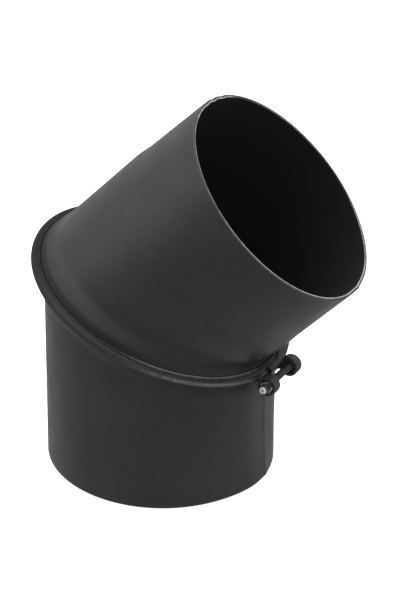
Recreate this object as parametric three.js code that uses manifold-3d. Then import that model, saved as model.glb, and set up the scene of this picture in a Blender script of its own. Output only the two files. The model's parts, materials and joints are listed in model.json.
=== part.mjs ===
// Adjustable flue elbow for a 150 mm stove pipe, set at its full 45 degree bend.
//
// Two steel tube halves meet at flanges that lie in one tilted plane. A channel-section clamp
// band holds the flanges together, and one screw through two bushes closes the band. With the
// screw slackened, the upper half and the band each turn about the normal of the joint plane,
// and half a turn of the upper half makes the elbow straight.
//
// Millimetres, +Z up. The origin is the middle of the lower tube's open end. The lower tube's
// axis is +Z, and the upper tube leans towards +X.

import * as THREE from 'three';
import { LoftGeometry } from 'three/addons/geometries/LoftGeometry.js';
import { mergeVertices } from 'three/addons/utils/BufferGeometryUtils.js';
import Module from 'manifold-3d';

const wasm = await Module();
wasm.setup();

// ---- Driving dimensions ------------------------------------------------------------------

const NOMINAL_BORE = 150;
const WALL = 2;
const BEND = THREE.MathUtils.degToRad(45);
const AXES_HEIGHT = 120; // from the lower open end to where the two tube axes meet
const OUTLET_REACH = 111; // from there to the upper open end
const JOINT_DROP = 3.5; // the joint plane lies this far below that point, along the swivel axis

const SOCKET_RADIUS = NOMINAL_BORE / 2 + WALL;
const BODY_RADIUS = 75; // upper tube, outside
const SPIGOT_ROOT_RADIUS = 74; // the reduced end that goes into the next pipe
const SPIGOT_TIP_RADIUS = 72.4;
const SPIGOT_LENGTH = 58; // to the middle of the soft step up to the body
const SPIGOT_STEP = 12;
const FLARE_LENGTH = 18; // where the round tube changes into the round neck
const FLARE_PULL = 6.5; // how far each end of the flare keeps its direction
const LOWER_LEAN = -2.6; // on the short side the wall leans in or out, to meet the neck
const UPPER_LEAN = 0.9;

const NECK_RADIUS = 82.6; // outside, at the root of the flange
const NECK_FILLET = 0.8;
const MOUTH_ROUND = 2.2; // inner edge of the flange
const FLANGE_RADIUS = 86.2;
const FLANGE_THICKNESS = 1.4;
const GAP = 0.3; // between faces that touch on the real object

const BAND_RADIUS = 88.5;
const BAND_LIP_RADIUS = 83.5;
const BAND_THICKNESS = 1;
const BAND_NOSE_ROUND = 2.3;
const BAND_REAR_TIP = -7.5; // degrees round the swivel axis, from the short side of the bend
const BAND_FRONT_TIP = 363;
const JOGGLE_START = 34; // degrees; from here the rear end steps out, to lap over the front end
const JOGGLE_FULL = 14;
const JOGGLE_NOSE = 1.4; // how far the nose steps out
const JOGGLE_UPPER = { out: 3.2, away: 1.25 }; // the lips step up or down, and out at the tip
const JOGGLE_LOWER = { out: 4, away: 0.9 };
const LIP_START = 10; // degrees; from here to the tip the lips step out
const LIP_FULL = -1;

const SCREW_ANGLE = -4; // degrees round the swivel axis
const SCREW_OFFSET = 94.7; // from the swivel axis
const SCREW_HEIGHT = -0.75; // from the joint plane
const BUSH_RADIUS = 6.5;
const BUSH_LENGTH = 7.6;
const BUSH_SPACING = 32.1; // between the middles of the two bushes
const BUSH_BORE = 2.8;
const OUTER_RECESS = { radius: 4.9, depth: 3.6 }; // takes the nut in front, the screw head behind
const INNER_RECESS = { radius: 4.6, depth: 1.8 };
const THREAD_RADIUS = 2.5; // M5
const THREAD_CHAMFER = 0.6;
const SCREW_LENGTH = 42;
const HEX_ACROSS_FLATS = 8;
const HEAD_HEIGHT = 3.5;
const NUT_HEIGHT = 4;

const RING_STEPS = 64;
const BAND_STEPS = 72;
const BUSH_STEPS = 32;
const FLARE_STEPS = 5;

// ---- Materials ---------------------------------------------------------------------------

const blackPaint = new THREE.MeshStandardMaterial({ color: 0x2b2b2c, roughness: 0.62, metalness: 0.25 });
const bandPaint = new THREE.MeshStandardMaterial({ color: 0x333334, roughness: 0.55, metalness: 0.3 });
const bushPaint = new THREE.MeshStandardMaterial({ color: 0x2a2a2b, roughness: 0.6, metalness: 0.3 });
const zinc = new THREE.MeshStandardMaterial({ color: 0xb9bcc0, roughness: 0.35, metalness: 0.9 });

// ---- Helpers -----------------------------------------------------------------------------

const degrees = THREE.MathUtils.degToRad;
const tilt = BEND / 2;

/** A closed body with shared vertices, from a geometry that has a seam. */
function weld(geometry) {
  const plain = new THREE.BufferGeometry().copy(geometry);
  plain.deleteAttribute('normal');
  plain.deleteAttribute('uv');
  return mergeVertices(plain, 1e-4);
}

function toSolid(geometry) {
  const welded = weld(geometry);
  return new wasm.Manifold(new wasm.Mesh({
    numProp: 3,
    vertProperties: new Float32Array(welded.attributes.position.array),
    triVerts: new Uint32Array(welded.index.array),
  }));
}

function toGeometry(solid) {
  const mesh = solid.getMesh();
  const geometry = new THREE.BufferGeometry();
  geometry.setAttribute('position', new THREE.BufferAttribute(mesh.vertProperties, 3));
  geometry.setIndex(new THREE.BufferAttribute(mesh.triVerts, 1));
  geometry.computeVertexNormals();
  return geometry;
}

function namedMesh(name, geometry, material) {
  geometry.computeVertexNormals();
  const mesh = new THREE.Mesh(geometry, material);
  mesh.name = name;
  return mesh;
}

/** Points on an arc about (x, y), from one angle to another, both ends included. */
function arc(x, y, radius, fromDegrees, toDegrees, steps) {
  const points = [];
  for (let i = 0; i <= steps; i += 1) {
    const angle = degrees(fromDegrees + (toDegrees - fromDegrees) * i / steps);
    points.push(new THREE.Vector2(x + radius * Math.cos(angle), y + radius * Math.sin(angle)));
  }
  return points;
}

/** Sweeps outlines round +Z. Each outline runs up its outer side and down its inner side. */
function sweepRound(outlineAt, fromAngle, toAngle, steps, caps) {
  const sections = [];
  for (let i = 0; i <= steps; i += 1) {
    const share = !caps && i === steps ? 0 : i / steps;
    sections.push(outlineAt(fromAngle + (toAngle - fromAngle) * share).reverse());
  }
  return weld(new LoftGeometry(sections, { capStart: caps, capEnd: caps }));
}

// ---- Tube halves -------------------------------------------------------------------------

/**
 * One tube half in its own frame: its axis is +Z, its open end is at z = 0, and its flange
 * lies in a plane tilted towards +X. `reach` is the height of the point where the two tube
 * axes meet, and `drop` is how far the flange plane lies short of it.
 * `straight` holds the [radius, height] steps of the plain tube, from the open end up, and
 * `lean` is how far the wall has moved out on the short side where the flare begins.
 */
function tubeHalf(reach, drop, straight, lean) {
  const swivel = new THREE.Vector3(Math.sin(tilt), 0, Math.cos(tilt));
  const across = new THREE.Vector3(Math.cos(tilt), 0, -Math.sin(tilt));
  const centre = new THREE.Vector3(0, 0, reach).addScaledVector(swivel, -drop);
  const face = -GAP / 2;
  const back = face - FLANGE_THICKNESS;
  const root = back - NECK_FILLET;
  const bodyRadius = straight[straight.length - 1][0];

  // A point given by its distance from the swivel axis and its height over the joint plane.
  const onJoint = (angle, radius, height) => centre.clone()
    .addScaledVector(across, radius * Math.cos(angle))
    .addScaledVector(new THREE.Vector3(0, 1, 0), radius * Math.sin(angle))
    .addScaledVector(swivel, height);
  const flareStart = (angle) => reach - FLARE_LENGTH
    - (bodyRadius * Math.cos(angle) * Math.sin(tilt) + drop) / Math.cos(tilt);
  const onTube = (angle, radius, z) => {
    const leaning = radius + lean * Math.max(Math.cos(angle), 0) ** 4 * z / flareStart(0);
    return new THREE.Vector3(leaning * Math.cos(angle), leaning * Math.sin(angle), z);
  };

  const flare = (angle, inset) => {
    const start = onTube(angle, bodyRadius - inset, flareStart(angle));
    const end = onJoint(angle, NECK_RADIUS - inset, root);
    const curve = new THREE.CubicBezierCurve3(
      start,
      start.clone().add(new THREE.Vector3(0, 0, FLARE_PULL)),
      end.clone().addScaledVector(swivel, -FLARE_PULL),
      end,
    );
    return curve.getPoints(FLARE_STEPS);
  };
  const flange = [
    ...arc(NECK_RADIUS + NECK_FILLET, root, NECK_FILLET, 180, 90, 3).slice(1),
    new THREE.Vector2(FLANGE_RADIUS, back),
    new THREE.Vector2(FLANGE_RADIUS, face),
    ...arc(NECK_RADIUS - WALL + MOUTH_ROUND, face - MOUTH_ROUND, MOUTH_ROUND, 90, 180, 3),
  ];
  const outlineAt = (angle) => [
    ...straight.map(([radius, z]) => onTube(angle, radius, z)),
    ...flare(angle, 0),
    ...flange.map((point) => onJoint(angle, point.x, point.y)),
    ...flare(angle, WALL).reverse(),
    ...straight.map(([radius, z]) => onTube(angle, radius - WALL, z)).reverse(),
  ];
  return sweepRound(outlineAt, 0, 2 * Math.PI, RING_STEPS, false);
}

function lowerTube() {
  const straight = [[SOCKET_RADIUS, 0]];
  return namedMesh('lower_tube', tubeHalf(AXES_HEIGHT, JOINT_DROP, straight, LOWER_LEAN), blackPaint);
}

function upperTube() {
  const straight = [
    [SPIGOT_TIP_RADIUS, 0],
    [SPIGOT_ROOT_RADIUS, SPIGOT_LENGTH - SPIGOT_STEP / 2],
    [BODY_RADIUS, SPIGOT_LENGTH + SPIGOT_STEP / 2],
  ];
  return namedMesh('upper_tube', tubeHalf(OUTLET_REACH, -JOINT_DROP, straight, UPPER_LEAN), blackPaint);
}

// ---- Clamp band --------------------------------------------------------------------------

/** A smooth step from 0 at `start` degrees to 1 at `full`, a smaller angle, for the band's rear end. */
function joggle(angle, start, full) {
  return THREE.MathUtils.smoothstep(degrees(start) - angle, 0, degrees(start - full));
}

function clampBand() {
  const halfHeight = GAP / 2 + FLANGE_THICKNESS + GAP + BAND_THICKNESS;
  const noseX = BAND_RADIUS - BAND_NOSE_ROUND;
  const noseY = halfHeight - BAND_NOSE_ROUND;
  const side = (inset) => [
    ...arc(noseX, -noseY, BAND_NOSE_ROUND - inset, -90, 0, 3),
    ...arc(noseX, noseY, BAND_NOSE_ROUND - inset, 0, 90, 3),
  ];
  const outline = [
    new THREE.Vector2(BAND_LIP_RADIUS, -halfHeight),
    ...side(0),
    new THREE.Vector2(BAND_LIP_RADIUS, halfHeight),
    new THREE.Vector2(BAND_LIP_RADIUS, halfHeight - BAND_THICKNESS),
    ...side(BAND_THICKNESS).reverse(),
    new THREE.Vector2(BAND_LIP_RADIUS, BAND_THICKNESS - halfHeight),
  ];
  const outlineAt = (angle) => outline.map((point) => {
    const step = joggle(angle, JOGGLE_START, JOGGLE_FULL);
    const lip = point.y > 0 ? JOGGLE_UPPER : JOGGLE_LOWER;
    const lipStep = lip.out * joggle(angle, LIP_START, LIP_FULL);
    const radius = point.x + (point.x === BAND_LIP_RADIUS ? lipStep : step * JOGGLE_NOSE);
    const height = point.y + step * Math.sign(point.y) * lip.away;
    return new THREE.Vector3(radius * Math.cos(angle), radius * Math.sin(angle), height);
  });
  const geometry = sweepRound(outlineAt, degrees(BAND_REAR_TIP), degrees(BAND_FRONT_TIP), BAND_STEPS, true);
  return namedMesh('clamp_band', geometry, bandPaint);
}

// ---- Bushes, screw and nut: local +Y runs along the screw, towards its head ---------------

/** A round bush with a deep recess at its outer end, and a saddle cut where it sits on the band. */
function bush(name, side, saddleRadius) {
  const half = BUSH_LENGTH / 2;
  const outline = [
    [BUSH_BORE, INNER_RECESS.depth - half],
    [INNER_RECESS.radius, INNER_RECESS.depth - half],
    [INNER_RECESS.radius, -half],
    [BUSH_RADIUS, -half],
    [BUSH_RADIUS, half],
    [OUTER_RECESS.radius, half],
    [OUTER_RECESS.radius, half - OUTER_RECESS.depth],
    [BUSH_BORE, half - OUTER_RECESS.depth],
    [BUSH_BORE, INNER_RECESS.depth - half],
  ].map(([radius, y]) => new THREE.Vector2(radius, y));
  const round = new THREE.LatheGeometry(outline, BUSH_STEPS);
  if (side < 0) round.rotateZ(Math.PI);
  const centreY = side * BUSH_SPACING / 2;
  const saddle = new THREE.CylinderGeometry(saddleRadius, saddleRadius, 4 * BUSH_RADIUS, 4 * RING_STEPS);
  saddle.rotateX(Math.PI / 2);
  saddle.translate(-SCREW_OFFSET, -centreY, 0);
  const mesh = namedMesh(name, toGeometry(toSolid(round).subtract(toSolid(saddle))), bushPaint);
  mesh.position.y = centreY;
  return mesh;
}

function hexagon() {
  const corner = HEX_ACROSS_FLATS / Math.sqrt(3);
  const shape = new THREE.Shape();
  for (let i = 0; i < 6; i += 1) {
    const angle = degrees(60 * i + 30);
    const x = corner * Math.cos(angle);
    const y = corner * Math.sin(angle);
    if (i === 0) shape.moveTo(x, y);
    else shape.lineTo(x, y);
  }
  shape.closePath();
  return shape;
}

/** A hexagon of the given height that stands on y = 0 and rises towards +Y. */
function hexPrism(shape, height) {
  const prism = new THREE.ExtrudeGeometry(shape, { depth: height, bevelEnabled: false, curveSegments: 12 });
  prism.rotateX(-Math.PI / 2);
  return prism;
}

const recessFloor = BUSH_SPACING / 2 + BUSH_LENGTH / 2 - OUTER_RECESS.depth;
const headSeat = recessFloor + GAP;

function clampBolt() {
  const shankOutline = [
    [0, 1],
    [0, -SCREW_LENGTH],
    [THREAD_RADIUS - THREAD_CHAMFER, -SCREW_LENGTH],
    [THREAD_RADIUS, THREAD_CHAMFER - SCREW_LENGTH],
    [THREAD_RADIUS, 1],
    [0, 1],
  ].map(([radius, y]) => new THREE.Vector2(radius, y));
  const shank = toSolid(new THREE.LatheGeometry(shankOutline, 20));
  const head = toSolid(hexPrism(hexagon(), HEAD_HEIGHT));
  const mesh = namedMesh('clamp_bolt', toGeometry(shank.add(head)), zinc);
  mesh.position.y = headSeat;
  return mesh;
}

function clampNut() {
  const shape = hexagon();
  const hole = new THREE.Path();
  hole.absarc(0, 0, THREAD_RADIUS + GAP, 0, 2 * Math.PI, true);
  shape.holes.push(hole);
  const mesh = namedMesh('clamp_nut', weld(hexPrism(shape, NUT_HEIGHT)), zinc);
  mesh.position.y = -recessFloor - GAP - NUT_HEIGHT;
  return mesh;
}

// ---- Assembly ----------------------------------------------------------------------------

const elbow = new THREE.Group();
elbow.add(lowerTube());

const upperAxis = new THREE.Group();
upperAxis.position.z = AXES_HEIGHT;
upperAxis.rotation.y = BEND;
elbow.add(upperAxis);
const upper = upperTube();
upper.position.z = OUTLET_REACH;
upper.rotation.x = Math.PI;
upperAxis.add(upper);

const joint = new THREE.Group();
joint.position.set(-JOINT_DROP * Math.sin(tilt), 0, AXES_HEIGHT - JOINT_DROP * Math.cos(tilt));
joint.rotation.y = tilt;
elbow.add(joint);
joint.add(clampBand());

const screwTurn = new THREE.Group();
screwTurn.rotation.z = degrees(SCREW_ANGLE);
joint.add(screwTurn);
const screwAxis = new THREE.Group();
screwAxis.position.set(SCREW_OFFSET, 0, SCREW_HEIGHT);
screwTurn.add(screwAxis);

screwAxis.add(bush('front_sleeve', -1, BAND_RADIUS + GAP));
screwAxis.add(bush('rear_sleeve', 1, BAND_RADIUS + JOGGLE_NOSE + GAP));
screwAxis.add(clampBolt());
screwAxis.add(clampNut());

export default elbow;
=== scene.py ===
"""Visual model of an adjustable flue elbow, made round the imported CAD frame.

Two tube halves meet at a tilted joint. A clamp band grips their flanges, and a screw and nut
draw the band's ends together through two bushes welded to it. Shapes are worked out in
millimetres in the CAD frame and turned to metres as each mesh is made.
"""
import json
import math

import bpy
import numpy as np
from mathutils import Matrix, Vector, noise

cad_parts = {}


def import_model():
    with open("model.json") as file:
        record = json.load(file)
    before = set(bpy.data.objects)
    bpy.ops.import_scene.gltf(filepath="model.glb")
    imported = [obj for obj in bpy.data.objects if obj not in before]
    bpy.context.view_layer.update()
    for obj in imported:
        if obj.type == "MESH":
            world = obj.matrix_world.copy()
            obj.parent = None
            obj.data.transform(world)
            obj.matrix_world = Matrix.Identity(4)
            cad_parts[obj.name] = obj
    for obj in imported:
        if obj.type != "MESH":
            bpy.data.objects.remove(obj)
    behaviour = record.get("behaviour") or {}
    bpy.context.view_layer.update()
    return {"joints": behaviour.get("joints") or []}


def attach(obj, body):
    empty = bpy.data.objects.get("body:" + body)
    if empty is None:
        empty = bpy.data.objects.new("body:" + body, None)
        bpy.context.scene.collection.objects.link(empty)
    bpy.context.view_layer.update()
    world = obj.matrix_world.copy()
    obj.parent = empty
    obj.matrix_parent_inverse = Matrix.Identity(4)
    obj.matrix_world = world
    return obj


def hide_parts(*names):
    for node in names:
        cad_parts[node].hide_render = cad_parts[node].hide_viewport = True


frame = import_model()

MM = 0.001
JOINTS = {joint["name"]: joint for joint in frame["joints"]}

# ---- Driving dimensions of the tube halves: millimetres, and directions in degrees -----------

WALL = 2.0
BEND = math.radians(45)
TILT = BEND / 2
AXES_HEIGHT = 120.0
OUTLET_REACH = 111.0
JOINT_DROP = 3.5
SOCKET_RADIUS = 77.0
SOCKET_HEIGHTS = (0.0, 3.0, 12.0)
BODY_RADIUS = 75.0
SPIGOT_ROOT_RADIUS = 74.0
SPIGOT_TIP_RADIUS = 72.4
SPIGOT_LENGTH = 58.0
SPIGOT_STEP = 12.0
RIM_ROUND = 0.35
LOWER_LEAN = -2.6
UPPER_LEAN = 0.9

# Each wall flares out to a neck, which carries the flange. The flare ends at the neck's root,
# just behind the flange, and its outside still slopes outwards there.
FLARE_LENGTH = 18.0
FLARE_PULL = 6.5
NECK_RADIUS = 82.6
NECK_ROOT = 1.5
NECK_SWELL = 0.5
NECK_CORNER = 0.3
ROLL_OUT = 0.4
ROLL_PULL = 2.6
MOUTH_ROUND = 2.2
FLANGE_RADIUS = 86.2
FLANGE_THICKNESS = 1.4
FLANGE_EDGE = 0.3
GAP = 0.3

# The lower end swells beside its seam: how far, over what height, and where round the tube.
END_BULGE = 2.1
BULGE_HEIGHT = 22.0
BULGE_DIRECTION = -6.0
BULGE_WIDTH = 20.0

# Faint waves in the walls, and how dents press the rim in and up.
WAVE_DEPTH = 0.10
WAVE_SIZE = 42.0
WAVE_FREE_HEIGHT = 8.0
DENT_REACH = 1.6
DENT_LIFT = 0.6
DENT_INWARD = 0.8

# ---- Driving dimensions of the clamp band: millimetres, and degrees round the joint ----------

BAND_RADIUS = 88.5
BAND_LIP_RADIUS = 83.5
BAND_THICKNESS = 1.0
BAND_NOSE_ROUND = 2.3
BAND_HALF = GAP / 2 + FLANGE_THICKNESS + GAP + BAND_THICKNESS
NOSE_CENTRE = BAND_RADIUS - BAND_NOSE_ROUND
LIP_ROUND = 0.3
RUBBED_WIDTH = 1.3
BAND_REAR_TIP = -7.5
BAND_FRONT_TIP = 366.0

# The rear end of the band steps out to lap over the front end.
JOGGLE_START = 34.0
JOGGLE_FULL = 14.0
JOGGLE_NOSE = 1.4
JOGGLE_UPPER = (3.2, 1.25)
JOGGLE_LOWER = (4.0, 1.5)
LIP_START = 10.0
LIP_FULL = -1.0
SPREAD_START = 16.0
SPREAD_FULL = 4.0
TIP_SPREAD = 0.7
TIP_SLANT = (-1.0, 2.2)
SLANT_SPAN = 7.0
NOSE_FULLNESS = 0.72

# ---- Driving dimensions of the bushes, screw and nut, millimetres ----------------------------

BUSH_RADIUS = 6.5
BUSH_LENGTH = 7.6
BUSH_SPACING = 32.1
BUSH_BORE = 2.8
BUSH_ROUND = 0.7
BUSH_WEAR = 0.15
OUTER_RECESS = (4.9, 3.6)
INNER_RECESS = (4.6, 1.8)
RECESS_MOUTH_ROUND = 0.35
RECESS_FLOOR_ROUND = 0.12
SADDLE_GAP = 0.02
SADDLE_CLEAR = 0.4
SCREW_OFFSET = 94.7
THREAD_RADIUS = 2.5
THREAD_PITCH = 0.8
THREAD_DEPTH = 0.61 * THREAD_PITCH
THREAD_ROOT = THREAD_RADIUS - THREAD_DEPTH
THREAD_CLEARANCE = 0.05
SCREW_LENGTH = 42.0
HEX_ACROSS_FLATS = 8.0
HEAD_HEIGHT = 3.5
NUT_HEIGHT = 4.0
RECESS_FLOOR = BUSH_SPACING / 2 + BUSH_LENGTH / 2 - OUTER_RECESS[1]
HEAD_SEAT = RECESS_FLOOR + GAP

# ---- Frames: origin and three axes, from the record's joints --------------------------------

SWIVEL = np.array(JOINTS["upper_swivel"]["axis"], float)
SWIVEL /= np.linalg.norm(SWIVEL)
CENTRE = np.array(JOINTS["upper_swivel"]["pos_m"], float) / MM
SIDE = np.array([0.0, 1.0, 0.0])
ACROSS = np.cross(SIDE, SWIVEL)
SCREW = np.array(JOINTS["bolt_turn"]["axis"], float)
SCREW /= np.linalg.norm(SCREW)
SCREW_CENTRE = np.array(JOINTS["bolt_turn"]["pos_m"], float) / MM
SCREW_OUT = np.cross(SCREW, SWIVEL)


def unit(vector):
    return np.asarray(vector, float) / np.linalg.norm(vector)


def unit_rows(vectors):
    return vectors / np.linalg.norm(vectors, axis=-1, keepdims=True)


def smoothstep(x):
    x = np.clip(x, 0.0, 1.0)
    return x * x * (3 - 2 * x)


def wobble(points, size, seed):
    """Smooth noise from -1 to 1 at each point, with features about `size` millimetres wide."""
    shift = Vector([seed * step for step in (17.3, 5.1, 9.7)])
    flat = points.reshape(-1, 3)
    values = [noise.noise(Vector(p) / size + shift) for p in flat]
    return np.array(values).reshape(points.shape[:-1])


# ---- Mesh making ----------------------------------------------------------------------------


def new_object(name, points, faces, body, material, replaces=(), wear_and_highlight=None, painted_shade=None):
    """A smooth closed mesh that rides on a body.

    The first value set says how much steel shows through the paint at each point, and on the band it
    also paints a highlight;
    the second says how much painted shade darkens each point: 0 is not at all and 1 is fully, and the
    first may be more where a material shows only part of it.
    """
    vertices = points.reshape(-1, 3)
    mesh = bpy.data.meshes.new(name)
    mesh.from_pydata([tuple(v) for v in vertices * MM], [], faces)
    for layer_name, values in (("wear_and_highlight", wear_and_highlight), ("painted_shade", painted_shade)):
        if values is not None:
            layer = mesh.attributes.new(layer_name, "FLOAT", "POINT")
            layer.data.foreach_set("value", np.asarray(values, np.float32).ravel())
    mesh.validate()
    face_outward(mesh)
    mesh.polygons.foreach_set("use_smooth", [True] * len(mesh.polygons))
    mesh.materials.append(material)
    obj = bpy.data.objects.new(name, mesh)
    bpy.context.scene.collection.objects.link(obj)
    if replaces:
        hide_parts(*replaces)
    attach(obj, body)


def face_outward(mesh):
    """Turns the faces of a closed mesh outward if its signed volume is negative."""
    mesh.calc_loop_triangles()
    corners = np.empty(len(mesh.vertices) * 3)
    mesh.vertices.foreach_get("co", corners)
    corners = corners.reshape(-1, 3)
    triangles = np.empty(len(mesh.loop_triangles) * 3, int)
    mesh.loop_triangles.foreach_get("vertices", triangles)
    a, b, c = corners[triangles.reshape(-1, 3)].transpose(1, 0, 2)
    if np.einsum("ij,ij->i", a, np.cross(b, c)).sum() < 0:
        mesh.flip_normals()


def grid_faces(rows, columns, close_rows, close_columns):
    """Quads over a rows x columns grid of vertices, with either direction closed on itself."""
    faces = []
    for i in range(rows if close_rows else rows - 1):
        for j in range(columns if close_columns else columns - 1):
            row, next_row = i * columns, ((i + 1) % rows) * columns
            next_j = (j + 1) % columns
            faces.append((row + j, row + next_j, next_row + next_j, next_row + j))
    return faces


def capped_tube_faces(rows, columns):
    """Quads along a tube of `rows` rings, with a polygon closing each end."""
    faces = grid_faces(rows, columns, False, True)
    faces.append(tuple(reversed(range(columns))))
    faces.append(tuple(range((rows - 1) * columns, rows * columns)))
    return faces


def arc(x, y, radius, start, end, steps):
    angles = np.radians(np.linspace(start, end, steps + 1))
    return [(x + radius * math.cos(a), y + radius * math.sin(a)) for a in angles]


def bezier(a, b, c, d, steps):
    """Rows of points along cubic curves from a to d, pulled towards b and then c."""
    return [(1 - s) ** 3 * a + 3 * s * (1 - s) ** 2 * b + 3 * s * s * (1 - s) * c + s ** 3 * d
            for s in np.linspace(0, 1, steps + 1)]


def rounded(points, radii, steps):
    """A closed outline of (x, y) points with each corner rounded by its own radius.

    A further point just before and after each rounding keeps the shading of flat faces flat.
    """
    lead = 0.6
    outline = []
    for i, point in enumerate(points):
        corner = np.array(point)
        before = unit(np.array(points[i - 1]) - corner)
        after = unit(np.array(points[(i + 1) % len(points)]) - corner)
        start = corner + before * radii[i]
        end = corner + after * radii[i]
        outline.append(tuple(start + before * lead * radii[i]))
        for k in range(steps + 1):
            s = k / steps
            outline.append(tuple((1 - s) ** 2 * start + 2 * s * (1 - s) * corner + s * s * end))
        outline.append(tuple(end + after * lead * radii[i]))
    return outline


# ---- Materials ------------------------------------------------------------------------------


def node(tree, kind, **values):
    """A new node; a value whose name starts with in_ goes to the input socket of that name."""
    made = tree.nodes.new(kind)
    for key, value in values.items():
        if key.startswith("in_"):
            made.inputs[key[3:].replace("_", " ")].default_value = value
        else:
            setattr(made, key, value)
    return made


def ramp(tree, source, stops):
    """A colour ramp from (position, grey or colour) stops."""
    made = tree.nodes.new("ShaderNodeValToRGB")
    while len(made.color_ramp.elements) < len(stops):
        made.color_ramp.elements.new(0.5)
    for element, (position, colour) in zip(made.color_ramp.elements, stops):
        element.position = position
        rgb = (colour,) * 3 if isinstance(colour, (int, float)) else colour
        element.color = (*rgb, 1)
    tree.links.new(source, made.inputs["Fac"])
    return made.outputs["Color"]


def noise_field(tree, scale, detail=3.0, roughness=0.5, distortion=0.0):
    """Noise fixed to the object, with `scale` features to the metre."""
    coords = node(tree, "ShaderNodeTexCoord")
    field = node(tree, "ShaderNodeTexNoise", in_Scale=scale, in_Detail=detail,
                 in_Roughness=roughness, in_Distortion=distortion)
    tree.links.new(coords.outputs["Object"], field.inputs["Vector"])
    return field.outputs["Fac"]


def math_node(tree, operation, a, b, clamp=False):
    made = node(tree, "ShaderNodeMath", operation=operation, use_clamp=clamp)
    for socket, value in zip(made.inputs, (a, b)):
        if isinstance(value, (int, float)):
            socket.default_value = value
        else:
            tree.links.new(value, socket)
    return made.outputs[0]


def scaled(tree, value, factor):
    return math_node(tree, "MULTIPLY", value, factor)


def blend(tree, a, share_a, b, share_b):
    return math_node(tree, "ADD", scaled(tree, a, share_a), scaled(tree, b, share_b))


def mix_colour(tree, factor, a, b):
    made = node(tree, "ShaderNodeMix", data_type="RGBA")
    for index, value in ((0, factor), (6, a), (7, b)):
        socket = made.inputs[index]
        if isinstance(value, tuple):
            socket.default_value = (*value, 1)
        else:
            tree.links.new(value, socket)
    return made.outputs[2]


def bump(tree, shader, height, strength, distance):
    made = node(tree, "ShaderNodeBump", in_Strength=strength, in_Distance=distance)
    tree.links.new(height, made.inputs["Height"])
    tree.links.new(made.outputs["Normal"], shader.inputs["Normal"])


def grey(level):
    return (level,) * 3


# Painted shade: a near-black, dull coat that darkens the paint where shade falls.
PAINTED_SHADE_COLOUR = grey(0.0015)
PAINTED_SHADE_ROUGHNESS = grey(0.9)
BARE_ROUGHNESS = grey(0.42)
# Steel where the paint has gone; on the band it also stands in for a painted highlight.
BARE_STEEL_AND_HIGHLIGHT = (0.62, 0.61, 0.60)
POLISHED_STEEL = (0.86, 0.87, 0.88)
GRIME = grey(0.015)


def painted_steel(name, dark, light, rough, grain, specular, wear_and_highlight_amount, metal=BARE_STEEL_AND_HIGHLIGHT):
    """Heat-resistant paint over steel: cloudy tone, spray grain, dust, edges where steel shows through,
    which on the band also paint a highlight, and painted shade.
    """
    material = bpy.data.materials.new(name)
    material.use_nodes = True
    tree = material.node_tree
    shader = tree.nodes["Principled BSDF"]
    shader.inputs["Specular IOR Level"].default_value = specular
    link = tree.links.new

    # Cloudy paint with a finer mottle, and specks of dust on it.
    clouds = noise_field(tree, 22.0, detail=4.0, roughness=0.55, distortion=0.3)
    mottle = noise_field(tree, 260.0, detail=4.0, roughness=0.6)
    tone = blend(tree, clouds, 0.6, mottle, 0.4)
    paint = ramp(tree, tone, [(0.36, dark), (0.64, light)])
    dust = ramp(tree, noise_field(tree, 900.0, detail=2.0), [(0.70, 0.0), (0.76, 1.0)])
    dusty = tuple(c * 2.6 for c in light)
    speckled = mix_colour(tree, scaled(tree, dust, 0.35), paint, dusty)

    # Steel shows where the paint has gone, most where it is chipped, and on the band it also paints a
    # highlight. Painted shade darkens both.
    worn_and_highlit = node(tree, "ShaderNodeAttribute", attribute_name="wear_and_highlight").outputs["Fac"]
    chip_noise = noise_field(tree, 500.0, detail=4.0, roughness=0.6)
    chips = ramp(tree, chip_noise, [(0.36, 0.0), (0.60, 1.0)])
    chipped = math_node(tree, "ADD", scaled(tree, chips, 0.9), 0.45)
    bare_and_highlit = math_node(tree, "MULTIPLY", scaled(tree, worn_and_highlit, chipped), wear_and_highlight_amount, clamp=True)
    painted_shade = node(tree, "ShaderNodeAttribute", attribute_name="painted_shade").outputs["Fac"]
    covered = mix_colour(tree, painted_shade, mix_colour(tree, bare_and_highlit, speckled, metal), PAINTED_SHADE_COLOUR)
    link(covered, shader.inputs["Base Color"])
    link(scaled(tree, bare_and_highlit, 0.8), shader.inputs["Metallic"])

    # Wide patches are a little glossier or duller than the rest.
    patches = noise_field(tree, 45.0, detail=5.0, roughness=0.6, distortion=0.4)
    roughness = ramp(tree, patches, [(0.3, rough - 0.05), (0.7, rough + 0.06)])
    painted = mix_colour(tree, bare_and_highlit, roughness, BARE_ROUGHNESS)
    link(mix_colour(tree, painted_shade, painted, PAINTED_SHADE_ROUGHNESS), shader.inputs["Roughness"])

    # The grain of sprayed paint.
    fine = noise_field(tree, 2600.0, detail=2.0)
    coarse = noise_field(tree, 620.0, roughness=0.6)
    bump(tree, shader, blend(tree, fine, 0.45, coarse, 0.55), grain, 0.0002)
    return material


def plated_steel(name, dull, bright, rough, dirt_amount):
    """Zinc-plated steel with dull patches, dirt in places and fine scratches."""
    material = bpy.data.materials.new(name)
    material.use_nodes = True
    tree = material.node_tree
    shader = tree.nodes["Principled BSDF"]
    link = tree.links.new

    patches = noise_field(tree, 420.0, detail=5.0, roughness=0.6, distortion=0.5)
    plating = ramp(tree, patches, [(0.35, dull), (0.65, bright)])
    dirt_noise = noise_field(tree, 420.0, detail=4.0, roughness=0.7)
    dirt = scaled(tree, ramp(tree, dirt_noise, [(0.38, 0.0), (0.52, 1.0)]), dirt_amount)
    link(mix_colour(tree, dirt, plating, GRIME), shader.inputs["Base Color"])
    link(math_node(tree, "SUBTRACT", 1.0, scaled(tree, dirt, 0.9)), shader.inputs["Metallic"])
    roughness = ramp(tree, patches, [(0.3, rough + 0.14), (0.7, rough - 0.05)])
    link(roughness, shader.inputs["Roughness"])
    bump(tree, shader, noise_field(tree, 3000.0, roughness=0.6), 0.25, 0.0001)
    return material


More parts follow.
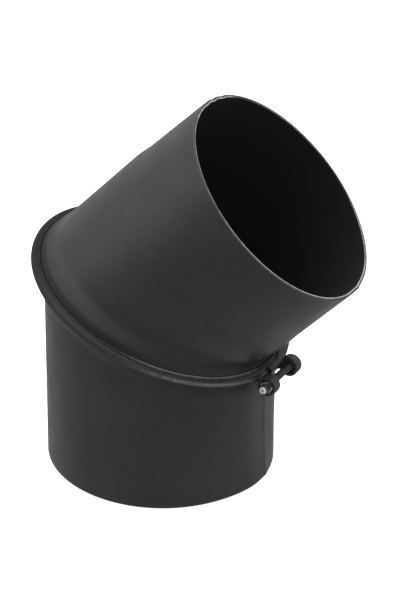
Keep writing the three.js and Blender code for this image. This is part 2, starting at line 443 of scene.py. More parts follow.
TUBE_PAINT = painted_steel("tube_black", (0.0115, 0.0115, 0.0117), (0.0185, 0.0185, 0.0188),
                           rough=0.42, grain=0.16, specular=0.4, wear_and_highlight_amount=1.0)
BAND_PAINT = painted_steel("band_black", (0.0125, 0.0125, 0.0127), (0.021, 0.021, 0.0212),
                           rough=0.44, grain=0.2, specular=0.35, wear_and_highlight_amount=0.8)
BUSH_PAINT = painted_steel("bush_black", (0.011, 0.011, 0.0112), (0.021, 0.021, 0.0212),
                           rough=0.50, grain=0.4, specular=0.35, wear_and_highlight_amount=0.2)
SCREW_PAINT = painted_steel("screw_black", (0.030, 0.030, 0.0302), (0.052, 0.052, 0.0522),
                            rough=0.42, grain=0.3, specular=0.45, wear_and_highlight_amount=1.0, metal=POLISHED_STEEL)
ZINC = plated_steel("zinc_plate", (0.35, 0.35, 0.34), (0.80, 0.81, 0.82), rough=0.36, dirt_amount=1.0)


# ---- Tube halves: directions round a tube are in degrees from the bend's short side ----------

# The weld seam lies on the short side of the bend; steps round the tube are finer close to it.
SEAM_ANGLE = -1.5
SEAM_STEPS = [-2.4, -1.8, -1.3, -0.9, -0.6, -0.3, 0.0, 0.3, 0.6, 0.9, 1.3, 1.8, 2.4]
ROUND_STEPS = [3.2, *np.arange(4.5, 356, 1.5), 356.8]
AZIMUTH = np.radians(np.array(SEAM_STEPS + ROUND_STEPS) + SEAM_ANGLE)

# The seam: a low bead on a flattened strip, which is less flat close to the bead.
BEAD_HEIGHT = 0.22
BEAD_HALF_WIDTH = 0.85
BEAD_INSIDE = 0.4
STRIP_DEPTH = 0.34
STRIP_HALF_WIDTH = 15
STRIP_FADE = 11
CROWN_OFFSET = 2.5
CROWN_FADE = 8

# How the wall is divided, as shares of its length or thickness, and heights of single rings.
FLARE_STEPS = 14
CORNER_STEPS = 3
MOUTH_STEPS = 7
BODY_SHARES = (0.12, 0.3, 0.5, 0.7, 0.85, 0.95)
SPIGOT_SHARES = (0, 0.08, 0.25, 0.45, 0.65, 0.82, 0.93, 1.0)
STEP_SHARES = np.arange(1, 9) / 8
OUTER_RING, INNER_RING = 1.0, 1.1
AFTER_STEP = 3.0
NECK_RINGS = (0.15, 0.4)
LEAN_POWER = 4

# How much steel shows on each ring of the rim where the rim's paint has gone, and how much painted
# shade darkens it, from the inside out.
RIM_INNER_WEAR = (0.35, 0.8, 1.0, 1.0)
RIM_INNER_SHADE = (0.8, 0.3, 0.0, 0.0)
RIM_FACE_WEAR = ((0.2, 0.9), (0.36, 0.1), (0.65, 0.0))
RIM_OUTER_WEAR = (0.0, 0.12, 0.12, 0.0)
FLANGE_WEAR = (0.4, 0.3)

# Painted shade on the flare: thick in the crease at the neck, along the shaded side only, and thin on
# the belly.
# Starts and fades are shares of the flare's length.
SHADED_TURN, SHADED_HALF_WIDTH = 35, 100
CREASE_SHADE, CREASE_START, CREASE_FADE = 0.75, 0.62, 0.25
BELLY_SHADE, BELLY_START, BELLY_FADE_IN, BELLY_FADE_OUT = 0.3, 0.25, 0.3, 0.25


def degrees_from(direction):
    """Signed angle of each azimuth from a direction, all in degrees."""
    turned = AZIMUTH - math.radians(direction) + math.pi
    return np.degrees(turned % (2 * math.pi) - math.pi)


def seam_shape():
    """Radial change at each azimuth from the flattened strip, and from the bead on it."""
    away = np.abs(degrees_from(SEAM_ANGLE))
    crown = smoothstep((away + CROWN_OFFSET) / CROWN_FADE)
    flat = -STRIP_DEPTH * smoothstep((STRIP_HALF_WIDTH - away) / STRIP_FADE) * crown
    bead = BEAD_HEIGHT * np.exp(-(away / BEAD_HALF_WIDTH) ** 2)
    return flat, bead


def in_stretches(stretches):
    """The amount at each azimuth, from (middle, half width, amount) stretches with soft ends."""
    fade = 0.4
    amounts = np.zeros(len(AZIMUTH))
    for middle, half_width, amount in stretches:
        away = np.abs(degrees_from(middle))
        inside = smoothstep((half_width - away) / (fade * half_width))
        amounts = np.maximum(amounts, amount * inside)
    return amounts


def flare_shade(share, shaded):
    """Painted shade on the flare, from its start (share 0) to the crease at the neck (share 1)."""
    crease = CREASE_SHADE * smoothstep((share - CREASE_START) / CREASE_FADE) * shaded
    fade_in = smoothstep((share - BELLY_START) / BELLY_FADE_IN)
    belly = BELLY_SHADE * fade_in * smoothstep((1 - share) / BELLY_FADE_OUT)
    return np.maximum(crease, belly)


def waved_and_dented(points, dents, seed):
    """Tube points with faint waves in the wall, and dents pressed into the rim at z = 0."""
    outward = unit_rows(points * np.array([1, 1, 0]))
    fade = smoothstep(points[..., 2:3] / WAVE_FREE_HEIGHT)
    waves = wobble(points, WAVE_SIZE, seed)[..., None]
    points = points + outward * fade * WAVE_DEPTH * waves
    near_end = np.exp(-np.maximum(points[..., 2], 0) / DENT_REACH)
    for direction, depth, half_width in dents:
        pushed = near_end * np.exp(-(degrees_from(direction) / half_width) ** 2)
        points[..., 2] += DENT_LIFT * depth * pushed
        points = points - outward * (DENT_INWARD * depth * pushed)[..., None]
    return points


def tube_half(reach, drop, bore, straight, lean, end_bulge, rim_wear, dents, seed):
    """Rows of points round one tube half in its own frame, with how much steel shows at each and how
    much painted shade darkens it.

    The open end is at z = 0 and the joint at the top, tilted towards +X. `straight` lists
    (outer radius, height) steps, and `bore` (inner radius, height) steps. `lean` moves the wall
    on the short side out where the flare begins, and `end_bulge` pushes the end out beside the
    seam. `rim_wear` lists (middle, half width, amount) stretches, and `dents` lists (direction,
    depth, half width) knocks in the rim.
    """
    swivel = np.array([math.sin(TILT), 0, math.cos(TILT)])
    across = np.array([math.cos(TILT), 0, -math.sin(TILT)])
    centre = np.array([0, 0, reach]) - drop * swivel
    face = -GAP / 2
    back = face - FLANGE_THICKNESS
    root = back - NECK_ROOT
    flat, bead = seam_shape()
    ring = np.stack([np.cos(AZIMUTH), np.sin(AZIMUTH)], -1)
    body = straight[-1][0]
    joint_height = (body * ring[:, 0] * math.sin(TILT) + drop) / math.cos(TILT)
    flare_start = reach - FLARE_LENGTH - joint_height
    short_side = np.maximum(ring[:, 0], 0) ** LEAN_POWER
    beside_seam = np.exp(-degrees_from(BULGE_DIRECTION) ** 2 / BULGE_WIDTH ** 2)

    def on_tube(radius, z, outside=True):
        radius = radius + flat + (bead if outside else -BEAD_INSIDE * bead)
        radius = radius + lean * short_side * z / flare_start.min()
        radius = radius + end_bulge * beside_seam * np.exp(-z / BULGE_HEIGHT)
        heights = np.broadcast_to(z, AZIMUTH.shape)
        return np.concatenate([ring * radius[:, None], heights[:, None]], 1)

    def on_joint(radius, height):
        plane = ring[:, :1] * across + ring[:, 1:] * SIDE
        return centre + radius * plane + height * swivel

    def flare(inset):
        roll_out, roll_pull = (0, 0) if inset else (ROLL_OUT, ROLL_PULL)
        start = on_tube(body - inset, flare_start, not inset)
        end = on_joint(NECK_RADIUS - inset + roll_out, root)
        pull_up = start + np.array([0, 0, FLARE_PULL])
        pull_in = on_joint(NECK_RADIUS - inset - roll_pull, root - FLARE_PULL)
        return bezier(start, pull_up, pull_in, end, FLARE_STEPS)

    rows, bare_and_highlit, painted_shade_amounts = [], [], []

    def add(points, wear_and_highlight=0.0, painted_shade=0.0):
        rows.append(points)
        bare_and_highlit.append(np.broadcast_to(wear_and_highlight, AZIMUTH.shape))
        painted_shade_amounts.append(np.broadcast_to(painted_shade, AZIMUTH.shape))

    worn_and_highlit = in_stretches(rim_wear)
    # The upper half is made upside down, so its shaded side, with its painted shade, mirrors that of
    # the lower half.
    shaded_middle = 180 + math.copysign(SHADED_TURN, drop)
    shaded = in_stretches([(shaded_middle, SHADED_HALF_WIDTH, 1.0)])

    tip, inner_tip = straight[0][0], bore[0][0]
    # The inner edge of the rim begins the painted shade inside the tube.
    inner_round = arc(inner_tip + RIM_ROUND, RIM_ROUND, RIM_ROUND, 180, 270, CORNER_STEPS)
    for (r, z), wear_and_highlight, painted_shade in zip(inner_round, RIM_INNER_WEAR, RIM_INNER_SHADE):
        add(on_tube(r, z, False), wear_and_highlight * worn_and_highlit, painted_shade)
    for share, wear_and_highlight in RIM_FACE_WEAR:
        r = inner_tip + RIM_ROUND + (tip - inner_tip - 2 * RIM_ROUND) * share
        add(on_tube(r, 0.0), wear_and_highlight * worn_and_highlit)
    outer_round = arc(tip - RIM_ROUND, RIM_ROUND, RIM_ROUND, 270, 360, CORNER_STEPS)
    for (r, z), wear_and_highlight in zip(outer_round, RIM_OUTER_WEAR):
        add(on_tube(r, z), wear_and_highlight * worn_and_highlit)

    add(on_tube(tip, OUTER_RING))
    for r, z in straight[1:]:
        add(on_tube(r, z))
    low = straight[-1][1]
    for share in BODY_SHARES:
        add(on_tube(body, low + (flare_start - low) * share))
    # The flare and the neck carry painted shade, most in the crease on the shaded side.
    for k, row in enumerate(flare(0.0)):
        add(row, 0.0, flare_shade(k / FLARE_STEPS, shaded))
    neck = NECK_RADIUS + NECK_SWELL
    for height in NECK_RINGS:
        add(on_joint(neck, root + height), 0.0, shaded)
    for r, z in arc(neck + NECK_CORNER, back - NECK_CORNER, NECK_CORNER, 180, 90, CORNER_STEPS):
        add(on_joint(r, z), 0.0, shaded)

    edge = FLANGE_EDGE
    add(on_joint(FLANGE_RADIUS - 2 * edge, back))
    for r, z in arc(FLANGE_RADIUS - edge, back + edge, edge, -90, 0, CORNER_STEPS):
        add(on_joint(r, z), FLANGE_WEAR[0])
    for r, z in arc(FLANGE_RADIUS - edge, face - edge, edge, 0, 90, CORNER_STEPS):
        add(on_joint(r, z), FLANGE_WEAR[1])
    add(on_joint(FLANGE_RADIUS - 2 * edge, face))

    # The mouth, the inside of the flare and the bore are darkened fully with painted shade.
    mouth = NECK_RADIUS - WALL + MOUTH_ROUND
    for r, z in arc(mouth, face - MOUTH_ROUND, MOUTH_ROUND, 90, 180, MOUTH_STEPS):
        add(on_joint(r, z), 0.0, 1.0)
    for row in reversed(flare(WALL)):
        add(row, 0.0, 1.0)
    low = bore[-1][1]
    for share in reversed(BODY_SHARES):
        add(on_tube(body - WALL, low + (flare_start - low) * share, False), 0.0, 1.0)
    for r, z in reversed(bore[1:]):
        add(on_tube(r, z, False), 0.0, 1.0)
    add(on_tube(inner_tip, INNER_RING, False), 0.0, 1.0)
    return waved_and_dented(np.stack(rows), dents, seed), np.stack(bare_and_highlit), np.stack(painted_shade_amounts)


def make_tube(name, points, bare_and_highlit, painted_shade_amounts, body):
    rows, columns = points.shape[:2]
    new_object(name + "_skin", points, grid_faces(rows, columns, True, True), body,
               TUBE_PAINT, (name,), bare_and_highlit, painted_shade_amounts)


def lower_tube():
    straight = [(SOCKET_RADIUS, z) for z in SOCKET_HEIGHTS]
    bore = [(SOCKET_RADIUS - WALL, z) for z in SOCKET_HEIGHTS]
    rim_wear = [(90, 60, 0.3), (300, 40, 0.25)]
    points, bare_and_highlit, painted_shade_amounts = tube_half(AXES_HEIGHT, JOINT_DROP, bore, straight, LOWER_LEAN,
                                    END_BULGE, rim_wear, dents=[], seed=3)
    make_tube("lower_tube", points, bare_and_highlit, painted_shade_amounts, "lower")


def upper_tube():
    tip, root, body = SPIGOT_TIP_RADIUS, SPIGOT_ROOT_RADIUS, BODY_RADIUS
    low, high = SPIGOT_LENGTH - SPIGOT_STEP / 2, SPIGOT_LENGTH + SPIGOT_STEP / 2
    straight = [(tip + (root - tip) * s, low * s) for s in SPIGOT_SHARES]
    straight += [(root + (body - root) * math.sin(math.pi / 2 * s), low + (high - low) * s)
                 for s in STEP_SHARES]
    straight.append((body, high + AFTER_STEP))
    bore = [(r - WALL, z) for r, z in straight]
    rim_wear = [(180, 26, 1.0), (140, 45, 0.4), (65, 48, 0.85),
                (8, 40, 0.9), (330, 40, 0.55), (240, 30, 0.25)]
    dents = [(176, 0.5, 2.2), (184, 0.8, 2.0), (192, 0.5, 2.4)]
    points, bare_and_highlit, painted_shade_amounts = tube_half(OUTLET_REACH, -JOINT_DROP, bore, straight, UPPER_LEAN,
                                    0.0, rim_wear, dents, seed=11)
    turn = Matrix.Translation((0, 0, AXES_HEIGHT)) @ Matrix.Rotation(BEND, 4, "Y")
    turn = turn @ Matrix.Translation((0, 0, OUTLET_REACH)) @ Matrix.Rotation(math.pi, 4, "X")
    points = points @ np.array(turn.to_3x3()).T + np.array(turn.translation)
    make_tube("upper_tube", points, bare_and_highlit, painted_shade_amounts, "upper")


# ---- Clamp band -----------------------------------------------------------------------------

# Rings along the band: their spacing at its tips, where the joggled part ends, and two counts.
TIP_STEP = math.radians(0.25)
JOGGLED_END, PLAIN_START = math.radians(36), math.radians(37)
JOGGLED_RINGS, PLAIN_RINGS = 60, 264
NOSE_STEPS = 9
LIP_CUT = 0.3

# The band shows steel in front, which also paints the highlight on its lip and the sheen on its nose,
# and has painted shade on its left.
FRONT_ANGLE, FRONT_SPAN = 314.0, 28
LEFT_ANGLE, LEFT_SPAN = 180.0, 80
LEFT_SHADE = 0.8
ELSEWHERE_WEAR = 0.04
TIP_WEAR = 0.05
# Across the section: in front these paint the highlight on the lip and the sheen on the nose, as well
# as the steel showing there.
LIP_WEAR_AND_HIGHLIGHT = [3.0, 4.2, 1.4, 0.0, 0.0]
LOWER_WEAR_AND_SHEEN = [0.0] * NOSE_STEPS + [0.06, 0.12]
UPPER_WEAR_AND_SHEEN = [0.25, 0.25, 0.15, 0.08] + [0.0] * (NOSE_STEPS - 4) + [0.08, 0.25]


def joggle(angle, start, full):
    """A smooth step from 0 at `start` degrees to 1 at `full`, a smaller angle."""
    return smoothstep((start - np.degrees(angle)) / (start - full))


def near(angles, middle, span):
    """1 up to 0.3 spans from `middle`, fading to 0 at 1.3 spans."""
    return smoothstep(1.3 - np.abs(np.degrees(angles) - middle) / span)


def ring_point(radius, angle, height):
    around = np.cos(angle)[..., None] * ACROSS + np.sin(angle)[..., None] * SIDE
    return CENTRE + radius[..., None] * around + height[..., None] * SWIVEL


def band_section():
    """The band's C section as (radius, height) points, and how much steel shows at each where the band
    is scuffed; in front this also paints the highlight on the lip and the sheen on the nose.

    The points run up the outer side, round the upper lip, down the inner side and round the
    lower lip. The counts of points on one side and on one lip come with them.
    """
    nose_height = BAND_HALF - BAND_NOSE_ROUND
    flat_end = BAND_LIP_RADIUS + RUBBED_WIDTH

    def side(inset):
        radius = BAND_NOSE_ROUND - inset
        return [(flat_end, inset - BAND_HALF),
                *arc(NOSE_CENTRE, -nose_height, radius, -90, 0, NOSE_STEPS),
                *arc(NOSE_CENTRE, nose_height, radius, 0, 90, NOSE_STEPS),
                (flat_end, BAND_HALF - inset)]

    outer, inner = side(0.0), side(BAND_THICKNESS)
    under = BAND_HALF - BAND_THICKNESS
    cut = LIP_CUT * LIP_ROUND
    upper_lip = [(BAND_LIP_RADIUS + LIP_ROUND, BAND_HALF),
                 (BAND_LIP_RADIUS + cut, BAND_HALF - cut),
                 (BAND_LIP_RADIUS, BAND_HALF - BAND_THICKNESS / 2),
                 (BAND_LIP_RADIUS + cut, under + cut),
                 (BAND_LIP_RADIUS + LIP_ROUND, under)]
    lower_lip = [(x, -y) for x, y in reversed(upper_lip)]
    outline = np.array(outer + upper_lip + inner[::-1] + lower_lip)
    wear_and_highlight = LOWER_WEAR_AND_SHEEN + UPPER_WEAR_AND_SHEEN + LIP_WEAR_AND_HIGHLIGHT + [0.0] * (len(inner) + len(lower_lip))
    return outline, np.array(wear_and_highlight), len(outer), len(upper_lip)


def band_points(outline, angles):
    """The section swept round the joint, stepped out and spread towards its rear tip."""
    angle = np.broadcast_to(angles[:, None], (len(angles), len(outline)))
    step = joggle(angle, JOGGLE_START, JOGGLE_FULL)
    lip_step = joggle(angle, LIP_START, LIP_FULL)
    x, y = outline[None, :, 0], outline[None, :, 1]
    lip_out = np.where(y > 0, JOGGLE_UPPER[0], JOGGLE_LOWER[0])
    lip_share = np.clip((NOSE_CENTRE - x) / (NOSE_CENTRE - BAND_LIP_RADIUS), 0, 1)
    round_share = np.clip((x - NOSE_CENTRE) / BAND_NOSE_ROUND, 0, 1)
    fuller_share = round_share ** (1 - NOSE_FULLNESS * step)
    fullness = step * BAND_NOSE_ROUND * (fuller_share - round_share)
    nose_out = step * JOGGLE_NOSE + joggle(angle, SPREAD_START, SPREAD_FULL) * TIP_SPREAD
    radius = x + nose_out * (1 - lip_share) + lip_step * lip_out * lip_share + fullness
    height = y + step * np.where(y > 0, JOGGLE_UPPER[1], -JOGGLE_LOWER[1])
    slant = np.interp(height, [-BAND_HALF, BAND_HALF], [TIP_SLANT[1], TIP_SLANT[0]])
    near_tip = smoothstep(1 - (np.degrees(angle) - BAND_REAR_TIP) / SLANT_SPAN)
    return ring_point(radius, angle + np.radians(slant * near_tip), height)


def band_end_faces(rows, columns, side_count, lip_count):
    """Faces that close the band's two ends: quads between its sides and a polygon in each lip."""
    first_inner = side_count + lip_count
    last_inner = first_inner + side_count - 1
    polygons = [(k, k + 1, last_inner - 1 - k, last_inner - k) for k in range(side_count - 1)]
    polygons.append((side_count - 1, *range(side_count, first_inner), first_inner))
    polygons.append((last_inner, *range(last_inner + 1, columns), 0))
    faces = [tuple(polygon) for polygon in polygons]
    last_row = (rows - 1) * columns
    faces += [tuple(last_row + k for k in reversed(polygon)) for polygon in polygons]
    return faces


def clamp_band():
    outline, wear_and_highlight, side_count, lip_count = band_section()
    low, high = math.radians(BAND_REAR_TIP), math.radians(BAND_FRONT_TIP)
    angles = np.concatenate([
        [low, low + TIP_STEP],
        np.linspace(low + 4 * TIP_STEP, JOGGLED_END, JOGGLED_RINGS),
        np.linspace(PLAIN_START, high - 4 * TIP_STEP, PLAIN_RINGS),
        [high - TIP_STEP, high]])
    points = band_points(outline, angles)
    rows, columns = points.shape[:2]
    faces = grid_faces(rows, columns, False, True)
    faces += band_end_faces(rows, columns, side_count, lip_count)
    # In front, steel showing through also paints the highlight on the lip and the sheen on the nose.
    rubbed_and_highlit = near(angles, FRONT_ANGLE, FRONT_SPAN)
    bare_and_highlit = (ELSEWHERE_WEAR + (1 - ELSEWHERE_WEAR) * rubbed_and_highlit)[:, None] * wear_and_highlight[None, :]
    bare_and_highlit[0] = bare_and_highlit[-1] = TIP_WEAR
    # Painted shade darkens the band on its left.
    painted_shade_amounts = LEFT_SHADE * near(angles, LEFT_ANGLE, LEFT_SPAN)
    painted_shade_amounts = np.broadcast_to(painted_shade_amounts[:, None], bare_and_highlit.shape)
    new_object("clamp_band_skin", points, faces, "clamp", BAND_PAINT,
               ("clamp_band",), bare_and_highlit, painted_shade_amounts)


# ---- Bushes, screw and nut: local (x, y, z) is (away from the tube, along the screw, up) -----


def screw_point(local):
    x, y, z = local[..., :1], local[..., 1:2], local[..., 2:3]
    return SCREW_CENTRE + x * SCREW_OUT + y * SCREW + z * SWIVEL


def revolve(outline, steps):
    """Rows of local points round the screw's axis, from a closed (radius, y) outline."""
    outline = np.array(outline)
    angles = np.linspace(0, 2 * math.pi, steps, endpoint=False)
    x = outline[None, :, 0] * np.cos(angles)[:, None]
    z = outline[None, :, 0] * np.sin(angles)[:, None]
    y = np.broadcast_to(outline[None, :, 1], x.shape)
    return np.stack([x, y, z], -1)


def bush(name, side, saddle):
    """A turned bush, cut away to sit on the band at radius `saddle`; side 1 is the rear end."""
    half = BUSH_LENGTH / 2
    inner, inner_depth = INNER_RECESS
    outer, outer_depth = OUTER_RECESS
    corners = [(BUSH_BORE, inner_depth - half), (inner, inner_depth - half),
               (inner, -half), (BUSH_RADIUS, -half), (BUSH_RADIUS, half), (outer, half),
               (outer, half - outer_depth), (BUSH_BORE, half - outer_depth)]
    radii = [RECESS_FLOOR_ROUND, RECESS_FLOOR_ROUND, RECESS_MOUTH_ROUND, BUSH_ROUND]
    outline = rounded(corners, radii + radii[::-1], steps=4)
    points = revolve(outline, steps=64)
    if side < 0:
        points = points * np.array([-1, -1, 1])
    outside = np.linalg.norm(points[..., ::2], axis=-1) > outer + SADDLE_CLEAR
    points[..., 1] += side * BUSH_SPACING / 2
    x, y = points[..., 0], points[..., 1]
    seat = np.sqrt(saddle ** 2 - y ** 2) - SCREW_OFFSET
    points[..., 0] = np.where(outside & (x < seat), seat, x)
    rows, columns = points.shape[:2]
    new_object(name + "_skin", screw_point(points), grid_faces(rows, columns, True, True),
               "clamp", BUSH_PAINT, (name,), np.full((rows, columns), BUSH_WEAR))


# Weld beads stop short of a bush's ends. They taper at their ends and ripple along their length.
WELD_SHORT = 0.9
WELD_RINGS, WELD_AROUND = 40, 14
WELD_TAPER = 0.3
WELD_THINNEST = 0.12
WELD_RIPPLE, WELD_RIPPLE_RATE = 0.03, 1.7


def weld_bead(name, side, radius, height, size, reach=-WELD_SHORT):
    """A low fillet of weld in the corner between a bush and the band.

    Its outer end stops short of the bush's. `reach` is how far its inner end passes the bush's.
    """
    start = side * ((BUSH_SPACING - BUSH_LENGTH) / 2 - reach)
    end = side * ((BUSH_SPACING + BUSH_LENGTH) / 2 - WELD_SHORT)
    ring = np.radians(np.arange(WELD_AROUND) * 360 / WELD_AROUND)
    rows = []
    for i in range(WELD_RINGS + 1):
        share = i / WELD_RINGS
        y = start + (end - start) * share
        x = math.sqrt(radius ** 2 - y * y) - SCREW_OFFSET
        ripple = 1 + WELD_RIPPLE * math.sin(i * WELD_RIPPLE_RATE)
        swell = max(math.sin(math.pi * share), 0.0) ** WELD_TAPER * ripple
        spread = size * max(swell, WELD_THINNEST)
        rows.append(np.stack([x + spread * np.cos(ring), np.full(WELD_AROUND, y),
                              height + spread * np.sin(ring)], -1))
    new_object(name, screw_point(np.stack(rows)), capped_tube_faces(len(rows), WELD_AROUND),
               "clamp", BUSH_PAINT)


SCREW_AROUND = 72
SCREW_ANGLES = np.linspace(0, 2 * math.pi, SCREW_AROUND, endpoint=False)
THREAD_STEP = THREAD_PITCH / 8
TOOTH_TOP, TOOTH_SLOPE = 1.25, 2.9

# Hexagons: where their 30 degree chamfers start, and how soft the chamfers' edges are.
CHAMFER_START = 0.96
EDGE_IN, EDGE_UP, EDGE_DOWN = 0.03, 0.02, 0.05

# Rings of (radius, height) in the dished top of the screw's head, and in the centre of its tip.
HEAD_DISH = ((0.8, -0.35), (2.3, -0.28), (3.1, 0.0))
TIP_DIMPLE = ((THREAD_ROOT - 0.35, 0.0), (0.9, 0.0), (0.7, 0.2), (0.2, 0.3))
HEAD_FILLET = 0.25
TIP_CHAMFER, TIP_CHAMFER_SLOPE = 0.25, 0.9
THREAD_FROM_HEAD, THREAD_FROM_TIP = 0.2, 0.02

# The screw is bare at its tip, apart from the centre of the dimple.
BARE_TIP = 1.6
DIMPLE_WEAR = 0.15
DIMPLE_RADIUS, DIMPLE_FADE = 0.6, 0.5

# The nut's thread: how wide its mouths open, how high its tooth is, and where it starts and ends.
NUT_MOUTH = 0.3
NUT_TOOTH = 0.4
NUT_THREAD_BOTTOM, NUT_THREAD_TOP = 0.3, 0.25


def ring_row(radius, y):
    """A ring of local points round the screw's axis; radius and y may vary round it."""
    radius = np.broadcast_to(radius, SCREW_ANGLES.shape)
    y = np.broadcast_to(y, SCREW_ANGLES.shape)
    return np.stack([radius * np.cos(SCREW_ANGLES), y, radius * np.sin(SCREW_ANGLES)], -1)


def thread_tooth(y):
    """Height of a thread's tooth round the axis at `y`, from 0 at the root to 1 at the crest."""
    phase = (y / THREAD_PITCH + SCREW_ANGLES / (2 * math.pi)) % 1.0
    return np.clip(TOOTH_TOP - np.abs(phase - 0.5) * TOOTH_SLOPE, 0, 1)


def hex_rows(bottom, top, chamfer_bottom):
    """Rows down a hexagon's outside with 30 degree chamfers, from its top ring to its bottom."""
    sector = math.pi / 3
    radius = HEX_ACROSS_FLATS / 2 / np.cos((SCREW_ANGLES + sector / 2) % sector - sector / 2)
    flat = HEX_ACROSS_FLATS / 2 * CHAMFER_START
    drop = (radius - flat) * math.tan(math.radians(30))
    rows = [ring_row(flat, top), ring_row(radius - EDGE_IN, top - drop + EDGE_UP),
            ring_row(radius, top - drop - EDGE_DOWN)]
    if chamfer_bottom:
        rows += [ring_row(radius, bottom + drop + EDGE_DOWN),
                 ring_row(radius - EDGE_IN, bottom + drop - EDGE_UP), ring_row(flat, bottom)]
    else:
        rows += [ring_row(radius, bottom + EDGE_DOWN), ring_row(radius - EDGE_DOWN, bottom)]
    return rows


def clamp_bolt():
    top, tip = HEAD_SEAT + HEAD_HEIGHT, HEAD_SEAT - SCREW_LENGTH
    rows = [ring_row(radius, top + height) for radius, height in HEAD_DISH]
    rows += hex_rows(HEAD_SEAT, top, chamfer_bottom=False)
    rows.append(ring_row(THREAD_ROOT + HEAD_FILLET, HEAD_SEAT))
    for y in np.arange(HEAD_SEAT - THREAD_FROM_HEAD, tip + THREAD_FROM_TIP, -THREAD_STEP):
        radius = THREAD_ROOT + (THREAD_RADIUS - THREAD_ROOT) * thread_tooth(y)
        chamfer = THREAD_ROOT - TIP_CHAMFER + (y - tip) * TIP_CHAMFER_SLOPE
        rows.append(ring_row(np.minimum(radius, chamfer), y))
    rows += [ring_row(radius, tip + height) for radius, height in TIP_DIMPLE]
    local = np.stack(rows)
    from_axis = np.linalg.norm(local[..., ::2], axis=-1)
    outside_dimple = smoothstep((from_axis - DIMPLE_RADIUS) / DIMPLE_FADE)
    bare_and_highlit = smoothstep(tip + BARE_TIP - local[..., 1])
    bare_and_highlit = bare_and_highlit * (DIMPLE_WEAR + (1 - DIMPLE_WEAR) * outside_dimple)
    new_object("clamp_bolt_skin", screw_point(local), capped_tube_faces(len(rows), SCREW_AROUND),
               "bolt", SCREW_PAINT, ("clamp_bolt",), bare_and_highlit)


def clamp_nut():
    top = -RECESS_FLOOR - GAP
    bottom = top - NUT_HEIGHT
    hole = THREAD_RADIUS + THREAD_CLEARANCE
    mouth = hole + NUT_MOUTH
    rows = [ring_row(mouth, top), *hex_rows(bottom, top, chamfer_bottom=True),
            ring_row(mouth, bottom)]
    for y in np.arange(bottom + NUT_THREAD_BOTTOM, top - NUT_THREAD_TOP, THREAD_STEP):
        rows.append(ring_row(hole - NUT_TOOTH * (1 - thread_tooth(y)), y))
    new_object("clamp_nut_skin", screw_point(np.stack(rows)),
               grid_faces(len(rows), SCREW_AROUND, True, True), "nut", ZINC, ("clamp_nut",))


lower_tube()
upper_tube()
clamp_band()
bush("front_sleeve", -1, BAND_RADIUS + SADDLE_GAP)
bush("rear_sleeve", 1, BAND_RADIUS + JOGGLE_NOSE + SADDLE_GAP)
weld_bead("weld_front_upper", -1, radius=88.2, height=2.6, size=0.9)
weld_bead("weld_front_lower", -1, radius=88.0, height=-2.3, size=0.9)
weld_bead("weld_rear_upper", 1, radius=89.4, height=3.4, size=0.95)
weld_bead("weld_rear_lower", 1, radius=90.2, height=-3.9, size=1.3, reach=2.0)
clamp_bolt()
clamp_nut()

# ---- Floor, light and camera, in metres -----------------------------------------------------

FLOOR_HALF = 6.0
FLOOR_DROP = 0.0005
FLOOR_GLOW = 0.6

CAMERA_TURN, CAMERA_TILT, CAMERA_ROLL = math.radians(24.0), math.radians(26.2), math.radians(1.94)
CAMERA_TARGET = Vector((0.02151, 0.00958, 0.1107))
CAMERA_DISTANCE = 0.87
CAMERA_SENSOR, CAMERA_LENS = 36.0, 80.23

# The tent is darker in this direction, on the camera's side.
TENT_FRONT = (0.37, -0.82, 0.15)


def floor():
    size = FLOOR_HALF
    corners = [(-size, -size, 0), (size, -size, 0), (size, size, 0), (-size, size, 0)]
    mesh = bpy.data.meshes.new("floor")
    mesh.from_pydata(corners, [], [(0, 1, 2, 3)])
    material = bpy.data.materials.new("pale_floor")
    material.use_nodes = True
    tree = material.node_tree
    shader = tree.nodes["Principled BSDF"]
    tone = ramp(tree, noise_field(tree, 3.0, detail=2.0), [(0.3, 0.93), (0.7, 0.95)])
    tree.links.new(tone, shader.inputs["Base Color"])
    shader.inputs["Roughness"].default_value = 0.9
    shader.inputs["Emission Color"].default_value = (1, 1, 1, 1)
    shader.inputs["Emission Strength"].default_value = FLOOR_GLOW
    mesh.materials.append(material)
    obj = bpy.data.objects.new("floor", mesh)
    bpy.context.scene.collection.objects.link(obj)
    obj.location.z = -FLOOR_DROP
    obj.visible_diffuse = False
    obj.visible_glossy = False


def area_light(name, position, target, size, power):
    data = bpy.data.lights.new(name, "AREA")
    data.shape = "RECTANGLE"
    data.size, data.size_y, data.energy = size, size, power
    obj = bpy.data.objects.new(name, data)
    bpy.context.scene.collection.objects.link(obj)
    obj.location = position
    aim = Vector(target) - Vector(position)
    obj.rotation_euler = aim.to_track_quat("-Z", "Y").to_euler()


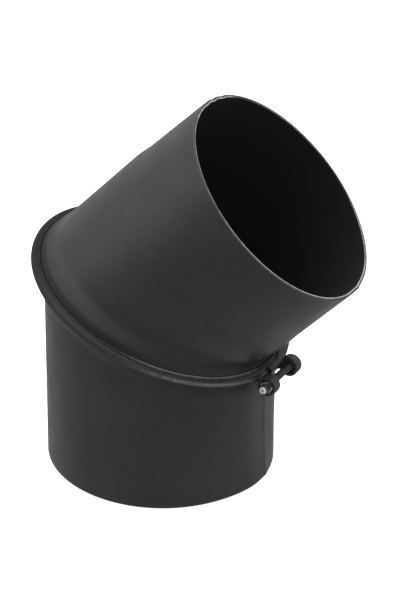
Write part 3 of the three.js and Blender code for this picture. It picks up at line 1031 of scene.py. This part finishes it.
def world(front, around, top, below):
    """A pale tent round the object: darker in front of it, brightest above, `below` underneath."""
    made = bpy.data.worlds.new("studio")
    made.use_nodes = True
    tree = made.node_tree
    coords = node(tree, "ShaderNodeTexCoord")
    facing = node(tree, "ShaderNodeVectorMath", operation="DOT_PRODUCT")
    facing.inputs[1].default_value = unit(TENT_FRONT)
    tree.links.new(coords.outputs["Generated"], facing.inputs[0])
    half = scaled(tree, facing.outputs["Value"], 0.5)
    walls = ramp(tree, math_node(tree, "ADD", half, 0.5), [(0.5, around), (0.8, front)])
    height = node(tree, "ShaderNodeSeparateXYZ")
    tree.links.new(coords.outputs["Generated"], height.inputs[0])
    up = ramp(tree, height.outputs["Z"], [(0.0, 0.0), (0.75, 1.0)])
    down = ramp(tree, scaled(tree, height.outputs["Z"], -1.0), [(0.0, 0.0), (0.12, 1.0)])
    tent = mix_colour(tree, up, walls, grey(top))
    background = tree.nodes["Background"]
    tree.links.new(mix_colour(tree, down, tent, grey(below)), background.inputs["Color"])
    bpy.context.scene.world = made


def camera():
    turn, tilt, roll = CAMERA_TURN, CAMERA_TILT, CAMERA_ROLL
    back = Vector((math.sin(turn) * math.cos(tilt), -math.cos(turn) * math.cos(tilt), math.sin(tilt)))
    right = Vector((math.cos(turn), math.sin(turn), 0))
    up = back.cross(right)
    rolled_right = right * math.cos(roll) + up * math.sin(roll)
    rolled_up = up * math.cos(roll) - right * math.sin(roll)
    place = Matrix((rolled_right, rolled_up, back)).transposed().to_4x4()
    place.translation = CAMERA_TARGET + back * CAMERA_DISTANCE
    data = bpy.data.cameras.new("camera")
    data.sensor_width = CAMERA_SENSOR
    data.lens = CAMERA_LENS
    obj = bpy.data.objects.new("camera", data)
    obj.matrix_world = place
    bpy.context.scene.collection.objects.link(obj)
    bpy.context.scene.camera = obj


floor()
world(front=0.4, around=0.65, top=1.25, below=0.6)
area_light("top_panel", (-0.5, 0.2, 1.6), target=(0, 0, 0.1), size=1.4, power=10)
area_light("left_panel", (-0.95, -0.5, 0.55), target=(0, 0, 0.12), size=0.9, power=2.0)
camera()
bpy.context.scene.view_settings.view_transform = "Standard"
